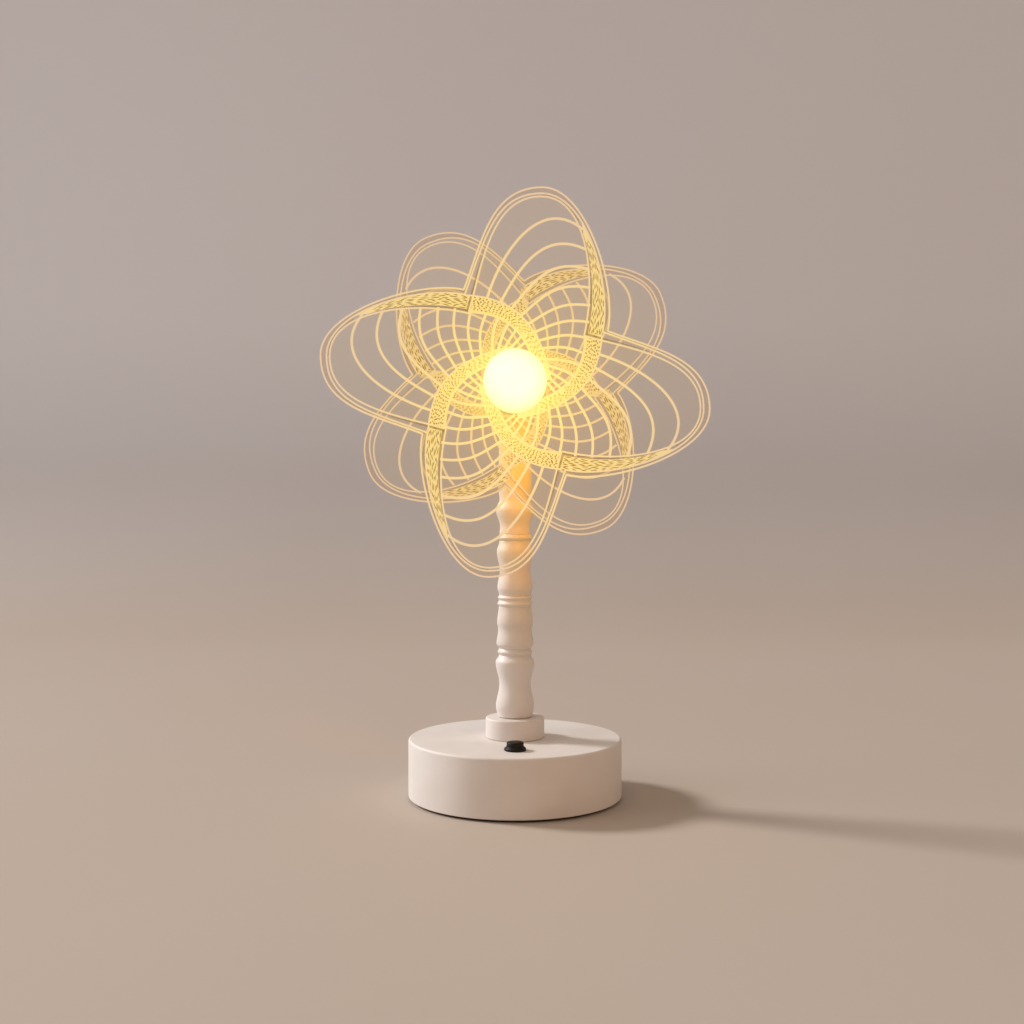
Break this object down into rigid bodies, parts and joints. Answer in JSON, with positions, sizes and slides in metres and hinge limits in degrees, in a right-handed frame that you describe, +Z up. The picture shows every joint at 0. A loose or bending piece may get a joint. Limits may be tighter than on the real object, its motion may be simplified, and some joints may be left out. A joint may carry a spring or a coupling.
{
  "type": "table lamp",
  "caption": "Flower table lamp: round weighted base with push button, turned stem, and a tilting head with a frosted globe in front of two clear engraved petal sheets.",
  "frame": {"origin": "on the table under the middle of the base, at the bottom of the pad", "axes": "+Z up along the stem, the flower and globe face -Y, +X to the viewer's right"},
  "size_m": [0.2218, 0.125, 0.3519],
  "materials": {
    "white_shell": "matte ivory moulding",
    "white_stem": "matte ivory turning",
    "white_metal": "matte ivory paint",
    "black_plastic": "satin black",
    "soft_pad": "closed-cell foam rubber",
    "steel": "zinc plated",
    "ballast": "raw, oiled",
    "cell_wrap": "shrink wrap over a steel can",
    "contact_brass": "bright stamping",
    "circuit_board": "green solder resist",
    "light_board": "white solder resist on aluminium",
    "light_chip": "yellow phosphor",
    "opal_globe": "opal, lit from inside",
    "clear_sheet": "clear acrylic, engraved lines lit by the globe",
    "fibre": "pressed fibre",
    "red_wire": "soft insulation",
    "black_wire": "soft insulation",
    "white_wire": "soft insulation"
  },
  "bodies": {
    "stand": {"base_shell": "white_shell", "base_cover": "white_shell", "base_pad": "soft_pad", "cover_screws": "steel", "ballast_disc": "ballast", "battery_cell": "cell_wrap", "battery_holder": "black_plastic", "battery_contacts": "contact_brass", "control_board": "circuit_board", "board_screws": "steel", "charge_port": "steel", "switch_bezel": "black_plastic", "switch_nut": "steel", "switch_body": "black_plastic", "switch_terminals": "contact_brass", "switch_spring": "steel", "stem_collar": "white_stem", "lower_column": "white_stem", "lower_bead": "white_stem", "middle_column": "white_stem", "bead_pair": "white_stem", "upper_column": "white_stem", "neck_ring": "white_stem", "top_column": "white_stem", "stem_rod": "steel", "rod_washer": "steel", "rod_nut": "steel", "knuckle_fork": "white_metal", "tilt_screw": "steel", "tilt_nut": "steel", "friction_washers": "fibre", "battery_leads": "red_wire", "switch_leads": "black_wire", "stem_lead": "white_wire"},
    "head": {"head_hub": "white_metal", "rear_petals": "clear_sheet", "petal_spacer": "white_metal", "front_petals": "clear_sheet", "clamp_ring": "white_metal", "led_board": "light_board", "led_chips": "light_chip", "globe": "opal_globe", "head_lead": "white_wire"},
    "button": {"switch_button": "black_plastic"}
  },
  "joints": [
    {"name": "head_tilt", "type": "hinge", "parent": "stand", "child": "head", "pos_m": [0, 0, 0.241], "axis": [-1, 0, 0], "range_deg": [0, 45]},
    {"name": "switch_press", "type": "slide", "parent": "stand", "child": "button", "axis": [0, 0, -1], "range_m": [0, 0.0018], "stiffness_N_per_m": 600, "springref_m": -0.002, "deforming": ["switch_spring"]}
  ]
}
